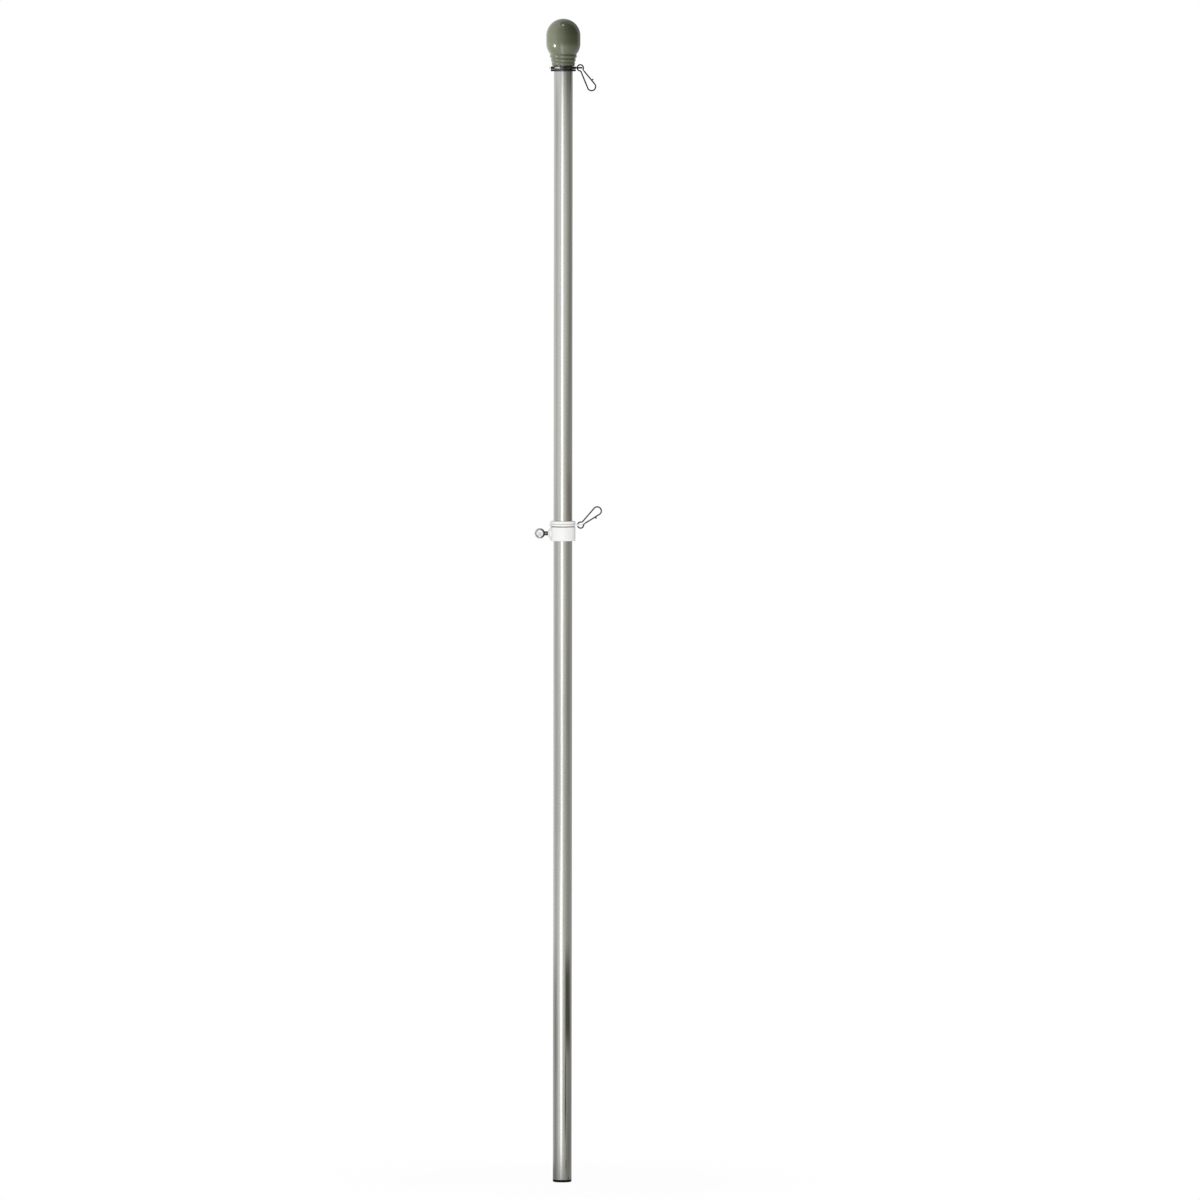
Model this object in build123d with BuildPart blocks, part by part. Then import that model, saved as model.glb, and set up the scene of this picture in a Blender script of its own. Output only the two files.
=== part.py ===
from build123d import *
from math import asin, atan2, cos, degrees, hypot, radians, sin, sqrt
import os

# A one-inch aluminium flagpole with two rings that spin round it, so that the
# flag can't wrap itself round the pole. The upper ring turns under the ball at
# the top. The lower ring turns on a collar that slides along the pole and is
# held by a thumb screw. Each ring carries a wire clip for a flag's eyelet.
#
# Millimetres. The pole stands on +Z with the middle of its foot at the origin,
# the two clips point to +X and the thumb screw to -X.

# Pole tube
POLE_DIAMETER = 25.4
POLE_WALL = 1.2
POLE_LENGTH = 1524.0

# Plug that closes the foot of the tube
PLUG_HEAD = 3.4
PLUG_EDGE_RADIUS = 1.2
PLUG_STEM = 16.0
PLUG_STEM_GAP = 0.6
PLUG_WALL = 2.0
PLUG_RIBS = 4
PLUG_RIB_HEIGHT = 1.2
PLUG_RIB_GAP = 0.05

# Ball and its beaded neck, moulded in one hollow piece. The neck's walls are
# measured from the pole, at the beads and at the grooves between them.
BALL_RADIUS = 23.0
BALL_BELT = 10.3
BALL_WALL = 2.0
NECK_BEAD_WALLS = (3.1, 4.0, 5.5)
NECK_GROOVE_WALLS = (2.5, 2.7, 3.5, 4.8)
NECK_BEAD_HEIGHTS = (4.7, 4.8, 5.5)
NECK_RIM_WALL = 2.0
NECK_RIM_HEIGHT = 0.8
SOCKET_DEPTH = 18.0
SOCKET_FIT = 0.05
SOCKET_STOP_WIDTH = 2.2
SOCKET_STOP_HEIGHT = 2.0

# Washer under the upper ring
WASHER_WIDTH = 4.3
WASHER_HEIGHT = 2.7
WASHER_FIT = 0.05

# Spinning rings, each with a pierced lug for its clip and a small ear opposite
RING_PAST_POLE = 4.5
RING_EDGE = 1.1
EAR_PAST_RING = 1.8
EAR_TIP_RADIUS = 1.0
EAR_ROOT_RADIUS = 3.2
LUG_THICKNESS = 2.2
LUG_ROOT_RADIUS = 6.5
LUG_WAIST_RADIUS = 3.5
LUG_TIP_RADIUS = 2.4
LUG_HOLE_CLEARANCE = 0.45
LUG_TIP_GAP = 0.45
UPPER_RING_HEIGHT = 3.6
UPPER_RING_BORE_GAP = 0.5
UPPER_RING_GAP = 0.3
UPPER_EYE_PAST_RING = 5.7
LOWER_RING_HEIGHT = 3.2
LOWER_RING_BORE_GAP = 0.25
LOWER_RING_GAP = 0.25
LOWER_EYE_PAST_RING = 6.8

# Sliding collar: a body with a hub that carries the lower ring, and a cap ring
COLLAR_HEIGHT_ABOVE_FOOT = 868.4
COLLAR_PAST_POLE = 4.3
COLLAR_BORE_GAP = 0.3
COLLAR_BODY_HEIGHT = 18.7
COLLAR_BASE_EDGE = 1.2
BEARING_RIDGE_HEIGHT = 0.8
BEARING_RIDGE_STEP = 0.8
HUB_STEP = 0.8
SPIGOT_WALL = 1.2
CAP_HEIGHT = 3.5
CAP_EDGE = 0.8
CAP_FIT = 0.05
CAP_LIP = 1.0

# Boss on the collar, its threaded insert and the thumb screw
SCREW_HEIGHT_IN_COLLAR = 10.1
BOSS_PAST_COLLAR = 2.9
BOSS_TIP_RADIUS = 4.7
BOSS_ROOT_RADIUS = 7.7
BOSS_TIP_LENGTH = 0.6
INSERT_RADIUS = 3.9
INSERT_FIT = 0.05
INSERT_LENGTH = 5.6
INSERT_GROOVE_DEPTH = 0.4
SCREW_RADIUS = 2.9
SCREW_FIT = 0.08
SCREW_TIP_GAP = 0.1
SHANK_PAST_BOSS = 5.1
COIN_RADIUS = 7.0
COIN_THICKNESS = 3.0
COIN_PAST_BOSS = 18.2
COIN_RIM_WIDTH = 1.5
COIN_RECESS = 0.6
COIN_EDGE = 0.5
SHOULDER_LENGTH = 3.2
SHOULDER_RADIUS = 4.4
SHOULDER_SAGITTA = 0.35

# Wire clips, both bent to the same pattern
WIRE_DIAMETER = 1.8
CLIP_EYE_RADIUS = 4.1
CLIP_END_RADIUS = 5.5
CLIP_SPAN = 29.5
CLIP_LEG_OFFSET = 1.1
CLIP_NECK_RADIUS = 2.5
CATCH_FROM_EYE = 22.8
CATCH_GAP = 0.25
CATCH_RUN = 2.2
CATCH_BEND_LENGTH = 2.5
CATCH_BEND_RADIUS = 1.6
GATE_ROOT_GAP = 0.15
GATE_TIP_PAST_CATCH = 0.9
UPPER_CLIP_ANGLE = -59.0
LOWER_CLIP_ANGLE = 40.5

# Levels and radii that follow from the sizes above
POLE_RADIUS = POLE_DIAMETER / 2
WIRE_RADIUS = WIRE_DIAMETER / 2
TUBE_BASE = PLUG_HEAD
TUBE_TOP = TUBE_BASE + POLE_LENGTH
BALL_BASE = TUBE_TOP - SOCKET_DEPTH
NECK_BASE = BALL_BASE - NECK_RIM_HEIGHT
UPPER_RING_BASE = NECK_BASE - UPPER_RING_GAP - UPPER_RING_HEIGHT
WASHER_BASE = UPPER_RING_BASE - UPPER_RING_GAP - WASHER_HEIGHT
RING_RADIUS = POLE_RADIUS + RING_PAST_POLE
UPPER_EYE_REACH = RING_RADIUS + UPPER_EYE_PAST_RING
LOWER_EYE_REACH = RING_RADIUS + LOWER_EYE_PAST_RING
COLLAR_BASE = COLLAR_HEIGHT_ABOVE_FOOT
SHOULDER_LEVEL = COLLAR_BASE + COLLAR_BODY_HEIGHT
LOWER_RING_BASE = SHOULDER_LEVEL + BEARING_RIDGE_HEIGHT + LOWER_RING_GAP
CAP_BASE = LOWER_RING_BASE + LOWER_RING_HEIGHT + LOWER_RING_GAP
COLLAR_RADIUS = POLE_RADIUS + COLLAR_PAST_POLE
COLLAR_BORE = POLE_RADIUS + COLLAR_BORE_GAP
SPIGOT_RADIUS = COLLAR_BORE + SPIGOT_WALL
HUB_RADIUS = SPIGOT_RADIUS + HUB_STEP
BEARING_RIDGE_RADIUS = HUB_RADIUS + BEARING_RIDGE_STEP
BOSS_REACH = COLLAR_RADIUS + BOSS_PAST_COLLAR
SCREW_LEVEL = COLLAR_BASE + SCREW_HEIGHT_IN_COLLAR
SCREW_AXIS = Axis((0, 0, SCREW_LEVEL), (1, 0, 0))

os.makedirs("parts", exist_ok=True)


def save(piece, name):
    """Label a finished piece and write it to its own file."""
    piece.label = name
    export_step(piece, f"parts/{name}.step")


# ---------------------------------------------------------------- pole tube
with BuildPart() as pole_tube:
    with BuildSketch(Plane.XY.offset(TUBE_BASE)):
        Circle(POLE_RADIUS)
        Circle(POLE_RADIUS - POLE_WALL, mode=Mode.SUBTRACT)
    extrude(amount=POLE_LENGTH)
save(pole_tube.part, "pole_tube")

# ---------------------------------------------------------------- foot plug
# The head is flush with the tube, so that the pole slips into a socket. The
# hollow stem grips the tube on a few ribs.
PLUG_STEM_RADIUS = POLE_RADIUS - POLE_WALL - PLUG_STEM_GAP
PLUG_RIB_RADIUS = POLE_RADIUS - POLE_WALL - PLUG_RIB_GAP
with BuildPart() as foot_plug:
    with BuildSketch(Plane.XY):
        Circle(POLE_RADIUS)
    extrude(amount=PLUG_HEAD)
    fillet(foot_plug.edges().group_by(Axis.Z)[0], PLUG_EDGE_RADIUS)
    with BuildSketch(Plane.XY.offset(PLUG_HEAD)):
        Circle(PLUG_STEM_RADIUS)
        Circle(PLUG_STEM_RADIUS - PLUG_WALL, mode=Mode.SUBTRACT)
    extrude(amount=PLUG_STEM)
    rib_step = PLUG_STEM / PLUG_RIBS
    for rib in range(PLUG_RIBS):
        rib_top = PLUG_HEAD + (rib + 1) * rib_step - PLUG_RIB_HEIGHT / 2
        with BuildSketch(Plane.XY.offset(rib_top)):
            Circle(PLUG_RIB_RADIUS)
            Circle(PLUG_STEM_RADIUS - PLUG_WALL, mode=Mode.SUBTRACT)
        extrude(amount=-PLUG_RIB_HEIGHT)
save(foot_plug.part, "foot_plug")

# ---------------------------------------------------------------- ball
# The outline runs up the beads of the neck, round the lower half of the ball,
# up a short straight belt and over the top. Inside, a socket takes the tube
# up to a stop, and the ball above it is a shell. The upper ring turns against
# a narrow rim under the neck.
NECK_BEADS = [POLE_RADIUS + wall for wall in NECK_BEAD_WALLS]
NECK_GROOVES = [POLE_RADIUS + wall for wall in NECK_GROOVE_WALLS]
NECK_RIM_RADIUS = POLE_RADIUS + NECK_RIM_WALL
NECK_HEIGHT = sum(NECK_BEAD_HEIGHTS)
LOWER_BALL_CENTRE = BALL_BASE + NECK_HEIGHT + sqrt(BALL_RADIUS**2 - NECK_GROOVES[-1] ** 2)
NECK_TOP_ANGLE = degrees(atan2(BALL_BASE + NECK_HEIGHT - LOWER_BALL_CENTRE, NECK_GROOVES[-1]))
UPPER_BALL_CENTRE = LOWER_BALL_CENTRE + BALL_BELT
INNER_BALL_RADIUS = BALL_RADIUS - BALL_WALL
SOCKET_RADIUS = POLE_RADIUS + SOCKET_FIT
STOP_RADIUS = SOCKET_RADIUS - SOCKET_STOP_WIDTH
STOP_TOP = BALL_BASE + SOCKET_DEPTH + SOCKET_STOP_HEIGHT
CAVITY_FLOOR_RADIUS = sqrt(INNER_BALL_RADIUS**2 - (LOWER_BALL_CENTRE - STOP_TOP) ** 2)

with BuildPart() as ball:
    with BuildSketch(Plane.XZ):
        with BuildLine():
            level = BALL_BASE
            for bead, height in enumerate(NECK_BEAD_HEIGHTS):
                ThreePointArc(
                    (NECK_GROOVES[bead], level),
                    (NECK_BEADS[bead], level + height / 2),
                    (NECK_GROOVES[bead + 1], level + height),
                )
                level += height
            CenterArc((0, LOWER_BALL_CENTRE), BALL_RADIUS, NECK_TOP_ANGLE, -NECK_TOP_ANGLE)
            Line((BALL_RADIUS, LOWER_BALL_CENTRE), (BALL_RADIUS, UPPER_BALL_CENTRE))
            CenterArc((0, UPPER_BALL_CENTRE), BALL_RADIUS, 0, 90)
            Line((0, UPPER_BALL_CENTRE + BALL_RADIUS), (0, UPPER_BALL_CENTRE + INNER_BALL_RADIUS))
            CenterArc((0, UPPER_BALL_CENTRE), INNER_BALL_RADIUS, 0, 90)
            Line((INNER_BALL_RADIUS, UPPER_BALL_CENTRE), (INNER_BALL_RADIUS, LOWER_BALL_CENTRE))
            RadiusArc(
                (INNER_BALL_RADIUS, LOWER_BALL_CENTRE),
                (CAVITY_FLOOR_RADIUS, STOP_TOP),
                INNER_BALL_RADIUS,
            )
            Polyline(
                (CAVITY_FLOOR_RADIUS, STOP_TOP),
                (STOP_RADIUS, STOP_TOP),
                (STOP_RADIUS, BALL_BASE + SOCKET_DEPTH),
                (SOCKET_RADIUS, BALL_BASE + SOCKET_DEPTH),
                (SOCKET_RADIUS, NECK_BASE),
                (NECK_RIM_RADIUS, NECK_BASE),
                (NECK_RIM_RADIUS, BALL_BASE),
                (NECK_GROOVES[0], BALL_BASE),
            )
        make_face()
    revolve(axis=Axis.Z)
save(ball.part, "ball")

# ---------------------------------------------------------------- stop washer
with BuildPart() as stop_washer:
    with BuildSketch(Plane.XY.offset(WASHER_BASE)):
        Circle(POLE_RADIUS + WASHER_WIDTH)
        Circle(POLE_RADIUS + WASHER_FIT, mode=Mode.SUBTRACT)
    extrude(amount=WASHER_HEIGHT)
    fillet(stop_washer.edges().filter_by(GeomType.CIRCLE).group_by(SortBy.RADIUS)[-1], WASHER_HEIGHT / 3)
save(stop_washer.part, "stop_washer")


# ---------------------------------------------------------------- spinning rings
def spinning_ring(base, height, bore_radius, eye_reach):
    """A flat ring. The lug on +X is pierced on one side of the clip's eye and ends inside it."""
    hole_x = eye_reach - CLIP_EYE_RADIUS
    tip_x = eye_reach + CLIP_EYE_RADIUS - WIRE_RADIUS - LUG_TIP_GAP - LUG_TIP_RADIUS
    middle = base + height / 2
    with BuildPart() as ring:
        with BuildSketch(Plane.XY.offset(base)):
            Circle(RING_RADIUS)
        extrude(amount=height)
        fillet(ring.edges().filter_by(GeomType.CIRCLE), RING_EDGE)
        with BuildSketch(Plane.XY.offset(middle)):
            with Locations((tip_x, 0)):
                Circle(LUG_TIP_RADIUS)
            with Locations((hole_x, 0)):
                Circle(LUG_WAIST_RADIUS)
            with Locations((bore_radius - LUG_ROOT_RADIUS / 2, 0)):
                Circle(LUG_ROOT_RADIUS)
            make_hull()
        extrude(amount=LUG_THICKNESS / 2, both=True)
        with BuildSketch(Plane.XY.offset(middle)):
            with Locations((EAR_TIP_RADIUS - RING_RADIUS - EAR_PAST_RING, 0)):
                Circle(EAR_TIP_RADIUS)
            with Locations((-bore_radius, 0)):
                Circle(EAR_ROOT_RADIUS)
            make_hull()
        extrude(amount=LUG_THICKNESS / 2, both=True)
        with BuildSketch(Plane.XY.offset(base)):
            Circle(bore_radius)
            with Locations((hole_x, 0)):
                Circle(WIRE_RADIUS + LUG_HOLE_CLEARANCE)
        extrude(amount=height, mode=Mode.SUBTRACT)
    return ring.part


UPPER_RING_BORE = POLE_RADIUS + UPPER_RING_BORE_GAP
LOWER_RING_BORE = HUB_RADIUS + LOWER_RING_BORE_GAP
upper_ring = spinning_ring(UPPER_RING_BASE, UPPER_RING_HEIGHT, UPPER_RING_BORE, UPPER_EYE_REACH)
lower_ring = spinning_ring(LOWER_RING_BASE, LOWER_RING_HEIGHT, LOWER_RING_BORE, LOWER_EYE_REACH)
save(upper_ring, "upper_ring")
save(lower_ring, "lower_ring")

# ---------------------------------------------------------------- collar body
# One moulding: sleeve, bearing ridge and hub for the ring, spigot for the cap
# ring, and a tapered boss that holds the threaded insert.
RIDGE_TOP = SHOULDER_LEVEL + BEARING_RIDGE_HEIGHT
with BuildPart() as collar_body:
    with BuildSketch(Plane.XZ):
        with BuildLine():
            Polyline(
                (0, COLLAR_BASE),
                (COLLAR_RADIUS, COLLAR_BASE),
                (COLLAR_RADIUS, SHOULDER_LEVEL),
                (BEARING_RIDGE_RADIUS, SHOULDER_LEVEL),
                (BEARING_RIDGE_RADIUS, RIDGE_TOP),
                (HUB_RADIUS, RIDGE_TOP),
                (HUB_RADIUS, CAP_BASE),
                (SPIGOT_RADIUS, CAP_BASE),
                (SPIGOT_RADIUS, CAP_BASE + CAP_HEIGHT - CAP_LIP),
                (0, CAP_BASE + CAP_HEIGHT - CAP_LIP),
                close=True,
            )
        make_face()
    revolve(axis=Axis.Z)
    fillet(collar_body.edges().group_by(Axis.Z)[0], COLLAR_BASE_EDGE)
    with BuildSketch(Plane.XZ):
        with BuildLine():
            Polyline(
                (0, SCREW_LEVEL),
                (-BOSS_REACH, SCREW_LEVEL),
                (-BOSS_REACH, SCREW_LEVEL + BOSS_TIP_RADIUS),
                (BOSS_TIP_LENGTH - BOSS_REACH, SCREW_LEVEL + BOSS_TIP_RADIUS),
                (-COLLAR_RADIUS, SCREW_LEVEL + BOSS_ROOT_RADIUS),
                (0, SCREW_LEVEL + BOSS_ROOT_RADIUS),
                close=True,
            )
        make_face()
    revolve(axis=SCREW_AXIS)
    with BuildSketch(Plane.YZ.offset(-BOSS_REACH)):
        with Locations((0, SCREW_LEVEL)):
            Circle(INSERT_RADIUS + INSERT_FIT)
    extrude(amount=BOSS_REACH, mode=Mode.SUBTRACT)
    with BuildSketch(Plane.XY.offset(COLLAR_BASE)):
        Circle(COLLAR_BORE)
    extrude(amount=CAP_BASE + CAP_HEIGHT - COLLAR_BASE, mode=Mode.SUBTRACT)
save(collar_body.part, "collar_body")

# ---------------------------------------------------------------- cap ring
with BuildPart() as cap_ring:
    with BuildSketch(Plane.XZ):
        with BuildLine():
            Polyline(
                (SPIGOT_RADIUS + CAP_FIT, CAP_BASE),
                (COLLAR_RADIUS, CAP_BASE),
                (COLLAR_RADIUS, CAP_BASE + CAP_HEIGHT),
                (COLLAR_BORE, CAP_BASE + CAP_HEIGHT),
                (COLLAR_BORE, CAP_BASE + CAP_HEIGHT - CAP_LIP),
                (SPIGOT_RADIUS + CAP_FIT, CAP_BASE + CAP_HEIGHT - CAP_LIP),
                close=True,
            )
        make_face()
    revolve(axis=Axis.Z)
    cap_rims = cap_ring.edges().filter_by(GeomType.CIRCLE).group_by(Axis.Z)[-1]
    fillet(cap_rims.sort_by(SortBy.RADIUS)[-1], CAP_EDGE)
save(cap_ring.part, "cap_ring")

# ---------------------------------------------------------------- threaded insert
with BuildPart() as thread_insert:
    with BuildSketch(Plane.YZ.offset(-BOSS_REACH)):
        with Locations((0, SCREW_LEVEL)):
            Circle(INSERT_RADIUS)
            Circle(SCREW_RADIUS + SCREW_FIT, mode=Mode.SUBTRACT)
    extrude(amount=INSERT_LENGTH)
    with BuildSketch(Plane.YZ.offset(-BOSS_REACH + INSERT_LENGTH / 2)):
        with Locations((0, SCREW_LEVEL)):
            Circle(INSERT_RADIUS)
            Circle(INSERT_RADIUS - INSERT_GROOVE_DEPTH, mode=Mode.SUBTRACT)
    extrude(amount=INSERT_LENGTH / 8, both=True, mode=Mode.SUBTRACT)
save(thread_insert.part, "thread_insert")

# ---------------------------------------------------------------- thumb screw
# A round shank that flares into a flat coin, dished on both faces.
COIN_CENTRE = COIN_RADIUS - BOSS_REACH - COIN_PAST_BOSS
SHANK_END = -BOSS_REACH - SHANK_PAST_BOSS
SHOULDER_END = SHANK_END - SHOULDER_LENGTH
SCREW_TIP = -POLE_RADIUS - SCREW_TIP_GAP
with BuildPart() as coin:
    with BuildSketch(Plane.XZ):
        with Locations((COIN_CENTRE, SCREW_LEVEL)):
            Circle(COIN_RADIUS)
    extrude(amount=COIN_THICKNESS / 2, both=True)
    fillet(coin.edges().filter_by(GeomType.CIRCLE), COIN_EDGE)

with BuildPart() as thumb_screw:
    with BuildSketch(Plane.XZ):
        with BuildLine():
            Polyline(
                (SHOULDER_END, SCREW_LEVEL),
                (SCREW_TIP, SCREW_LEVEL),
                (SCREW_TIP, SCREW_LEVEL + SCREW_RADIUS),
                (SHANK_END, SCREW_LEVEL + SCREW_RADIUS),
            )
            SagittaArc(
                (SHANK_END, SCREW_LEVEL + SCREW_RADIUS),
                (SHOULDER_END, SCREW_LEVEL + SHOULDER_RADIUS),
                -SHOULDER_SAGITTA,
            )
            Line((SHOULDER_END, SCREW_LEVEL + SHOULDER_RADIUS), (SHOULDER_END, SCREW_LEVEL))
        make_face()
    revolve(axis=SCREW_AXIS)
    chamfer(thumb_screw.edges().group_by(Axis.X)[-1], SCREW_RADIUS / 4)
    add(coin.part)
    for face in (-1, 1):
        with BuildSketch(Plane.XZ.offset(face * COIN_THICKNESS / 2)):
            with Locations((COIN_CENTRE, SCREW_LEVEL)):
                Circle(COIN_RADIUS - COIN_RIM_WIDTH)
        extrude(amount=-face * COIN_RECESS, mode=Mode.SUBTRACT)
save(thumb_screw.part, "thumb_screw")

# ---------------------------------------------------------------- wire clips
# Seen flat, a clip lies along u from the middle of its eye to the middle of its
# end loop, and v is across it. Straight legs splay from the eye to the loop.
SPLAY = asin(CLIP_END_RADIUS / hypot(CLIP_LEG_OFFSET, CLIP_SPAN)) - atan2(CLIP_LEG_OFFSET, CLIP_SPAN)
LEG_STANDOFF = CLIP_LEG_OFFSET * cos(SPLAY)
NECK_OFF_LEG = LEG_STANDOFF + CLIP_NECK_RADIUS
LEG_START = sqrt((CLIP_EYE_RADIUS + CLIP_NECK_RADIUS) ** 2 - NECK_OFF_LEG**2)
LEG_END = CLIP_SPAN * cos(SPLAY)
NECK_ANGLE = SPLAY + atan2(NECK_OFF_LEG, LEG_START)
CATCH_RADIUS = WIRE_DIAMETER + CATCH_GAP
GATE_ROOT = LEG_START + WIRE_RADIUS + GATE_ROOT_GAP
GATE_TIP = CATCH_FROM_EYE + GATE_TIP_PAST_CATCH


def leg_point(along, out=0.0, side=1):
    """Point beside a leg: `along` from the eye, `out` from the leg's line away from the clip's middle."""
    off = LEG_STANDOFF + out
    return (
        along * cos(SPLAY) - off * sin(SPLAY),
        side * (along * sin(SPLAY) + off * cos(SPLAY)),
    )


def wire_start(path):
    """Round wire section across the start of a path."""
    with BuildSketch(Plane(origin=path @ 0, z_dir=path % 0)) as section:
        Circle(WIRE_RADIUS)
    return section.sketch


def clip_frame(plane):
    """Eye, fixed leg, end loop, and the tail that hooks round the gate's tip."""
    turn = degrees(NECK_ANGLE)
    splay = degrees(SPLAY)
    bend = turn - splay - 90
    with BuildPart() as frame:
        with BuildLine(plane) as outline:
            neck = leg_point(LEG_START, CLIP_NECK_RADIUS)
            CenterArc(neck, CLIP_NECK_RADIUS, splay - 90, bend)
            CenterArc((0, 0), CLIP_EYE_RADIUS, turn, 360 - 2 * turn)
            CenterArc((neck[0], -neck[1]), CLIP_NECK_RADIUS, 180 - turn, bend)
            Line(leg_point(LEG_START, side=-1), leg_point(LEG_END, side=-1))
            CenterArc((CLIP_SPAN, 0), CLIP_END_RADIUS, -90 - splay, 180 + 2 * splay)
        add(wire_start(outline.line))
        sweep(path=outline.line)

        catch_side = CATCH_RADIUS * plane.z_dir
        loop_end = plane.from_local_coords(leg_point(LEG_END) + (0,))
        bend_end = plane.from_local_coords(leg_point(CATCH_FROM_EYE + CATCH_RUN) + (0,)) + catch_side
        bend_start = plane.from_local_coords(
            leg_point(CATCH_FROM_EYE + CATCH_RUN + CATCH_BEND_LENGTH) + (0,)
        )
        catch_middle = plane.from_local_coords(leg_point(CATCH_FROM_EYE) + (0,))
        with BuildLine() as tail:
            FilletPolyline(
                loop_end,
                bend_start,
                bend_end,
                catch_middle + catch_side,
                radius=CATCH_BEND_RADIUS,
            )
        add(wire_start(tail.line))
        sweep(path=tail.line)

        leg_direction = (loop_end - catch_middle).normalized()
        catch_plane = Plane(origin=catch_middle, x_dir=plane.z_dir, z_dir=leg_direction)
        with BuildLine(catch_plane) as hook:
            CenterArc((0, 0), CATCH_RADIUS, 0, 180 * hook_side(plane, catch_plane))
        add(wire_start(hook.line))
        sweep(path=hook.line)
        with Locations(hook.line @ 0, hook.line @ 1):
            Sphere(WIRE_RADIUS)
    return frame.part


def hook_side(plane, catch_plane):
    """+1 where the catch's own y axis points away from the clip's middle, else -1."""
    outward = plane.from_local_coords((0, 1, 0)) - plane.origin
    return 1 if catch_plane.y_dir.dot(outward) > 0 else -1


def clip_gate(plane):
    """The springy leg: its root turns against the end of the frame, its tip lies inside the catch."""
    root = plane.from_local_coords(leg_point(GATE_ROOT) + (0,))
    tip = plane.from_local_coords(leg_point(GATE_TIP) + (0,))
    along = (tip - root).normalized()
    leg_plane = Plane(origin=(root + tip) / 2, x_dir=along, z_dir=plane.z_dir)
    with BuildPart() as gate:
        with BuildSketch(leg_plane):
            SlotCenterToCenter(GATE_TIP - GATE_ROOT, WIRE_DIAMETER)
            split(bisect_by=Plane.XZ)
        revolve(axis=Axis(root, along))
    return gate.part


def clip_plane(eye_reach, level, angle, face):
    """Plane of a clip: u leaves the pole at `angle` above the horizontal, `face` sets the gate's side."""
    turn = radians(angle)
    return Plane(origin=(eye_reach, 0, level), x_dir=(cos(turn), 0, sin(turn)), z_dir=(0, face, 0))


UPPER_EYE_LEVEL = UPPER_RING_BASE + UPPER_RING_HEIGHT / 2
LOWER_EYE_LEVEL = LOWER_RING_BASE + LOWER_RING_HEIGHT / 2
upper_plane = clip_plane(UPPER_EYE_REACH, UPPER_EYE_LEVEL, UPPER_CLIP_ANGLE, -1)
lower_plane = clip_plane(LOWER_EYE_REACH, LOWER_EYE_LEVEL, LOWER_CLIP_ANGLE, 1)
save(clip_frame(upper_plane), "upper_clip_wire")
save(clip_gate(upper_plane), "upper_clip_gate")
save(clip_frame(lower_plane), "lower_clip_wire")
save(clip_gate(lower_plane), "lower_clip_gate")
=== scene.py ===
from math import cos, pi, radians, sin, tan

import bmesh
import bpy
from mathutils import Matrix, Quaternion, Vector


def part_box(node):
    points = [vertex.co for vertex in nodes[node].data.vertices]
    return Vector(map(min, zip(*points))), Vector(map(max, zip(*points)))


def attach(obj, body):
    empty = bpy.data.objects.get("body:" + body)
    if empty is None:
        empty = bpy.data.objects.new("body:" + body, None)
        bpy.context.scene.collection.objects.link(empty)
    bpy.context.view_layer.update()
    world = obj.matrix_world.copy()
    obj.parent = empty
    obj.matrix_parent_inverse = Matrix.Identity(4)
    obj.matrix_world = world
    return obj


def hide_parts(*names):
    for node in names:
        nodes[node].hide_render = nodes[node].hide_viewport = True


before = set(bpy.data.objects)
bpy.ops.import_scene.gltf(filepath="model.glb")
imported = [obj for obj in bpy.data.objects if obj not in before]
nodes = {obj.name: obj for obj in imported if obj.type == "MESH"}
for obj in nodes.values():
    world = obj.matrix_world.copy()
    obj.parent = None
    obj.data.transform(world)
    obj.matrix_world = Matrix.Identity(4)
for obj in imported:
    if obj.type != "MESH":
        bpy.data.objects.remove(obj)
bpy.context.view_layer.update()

# Metres, in the frame's own axes: the clips point to +X, the thumb screw to -X, and the
# camera looks along +Y. Azimuths are degrees round the pole, 0 toward the camera and 90
# toward +X, which is the picture's right.

# ------------------------------------------------------------------ sizes
# From the CAD nodes. The middle of the ball is that of its round top.
BALL_LOW, BALL_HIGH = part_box("ball")
OBJECT_TOP = BALL_HIGH.z
BALL_MIDDLE = OBJECT_TOP - BALL_HIGH.x
NECK_BOTTOM = BALL_LOW.z

# Camera: a long lens, a little lower than the pole's top, with a trace of roll in degrees
CAMERA_DISTANCE = 15.0
CAMERA_HEIGHT = 1.5
CAMERA_SIDE = 0.0503
CAMERA_ROLL = 0.069
AIM_HEIGHT = 0.7885
FRAME_WIDTH = 1.6190
SENSOR = 36.0

# Floor: it shows the shadow close to the foot and fades to white by FLOOR_FAR
FLOOR_RADIUS = 14.0
FLOOR_NEAR = 0.04
FLOOR_FAR = 0.7
FLOOR_WHITE_NEAR = 0.93
FLOOR_COLOUR = (0.9, 0.9, 0.89, 1)

# One round studio wall shows in metal and gloss, and a plainer one in the same place lights
# everything else. Each has a lower and an upper list of stops, with an azimuth, a brightness
# and a tint, and changes from one to the other between the heights in WALL_CHANGE. Near the
# floor both walls are dimmed: WALL_FADE has two heights and the brightness at the lower one.
WALL_RADIUS = 0.22
WALL_TOP = 2.25
WALL_CHANGE = (1.43, 1.57)
WALL_FADE = (0.05, 0.30, 0.86)
NEUTRAL = (1.0, 1.0, 0.99)
WARM = (1.0, 1.0, 0.90)
REFLECTED_LOW = (
    (-178, 0.90, NEUTRAL),
    (-142, 1.15, NEUTRAL),
    (-110, 0.86, NEUTRAL),
    (-88, 0.66, NEUTRAL),
    (-70, 0.74, NEUTRAL),
    (-48, 0.98, NEUTRAL),
    (-24, 1.00, NEUTRAL),
    (-16, 2.75, NEUTRAL),
    (-4, 2.75, NEUTRAL),
    (4, 1.00, NEUTRAL),
    (18, 0.98, NEUTRAL),
    (30, 0.76, WARM),
    (45, 0.54, WARM),
    (70, 0.44, WARM),
    (96, 0.36, NEUTRAL),
    (125, 0.48, NEUTRAL),
    (150, 0.42, NEUTRAL),
    (178, 0.90, NEUTRAL),
)
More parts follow.
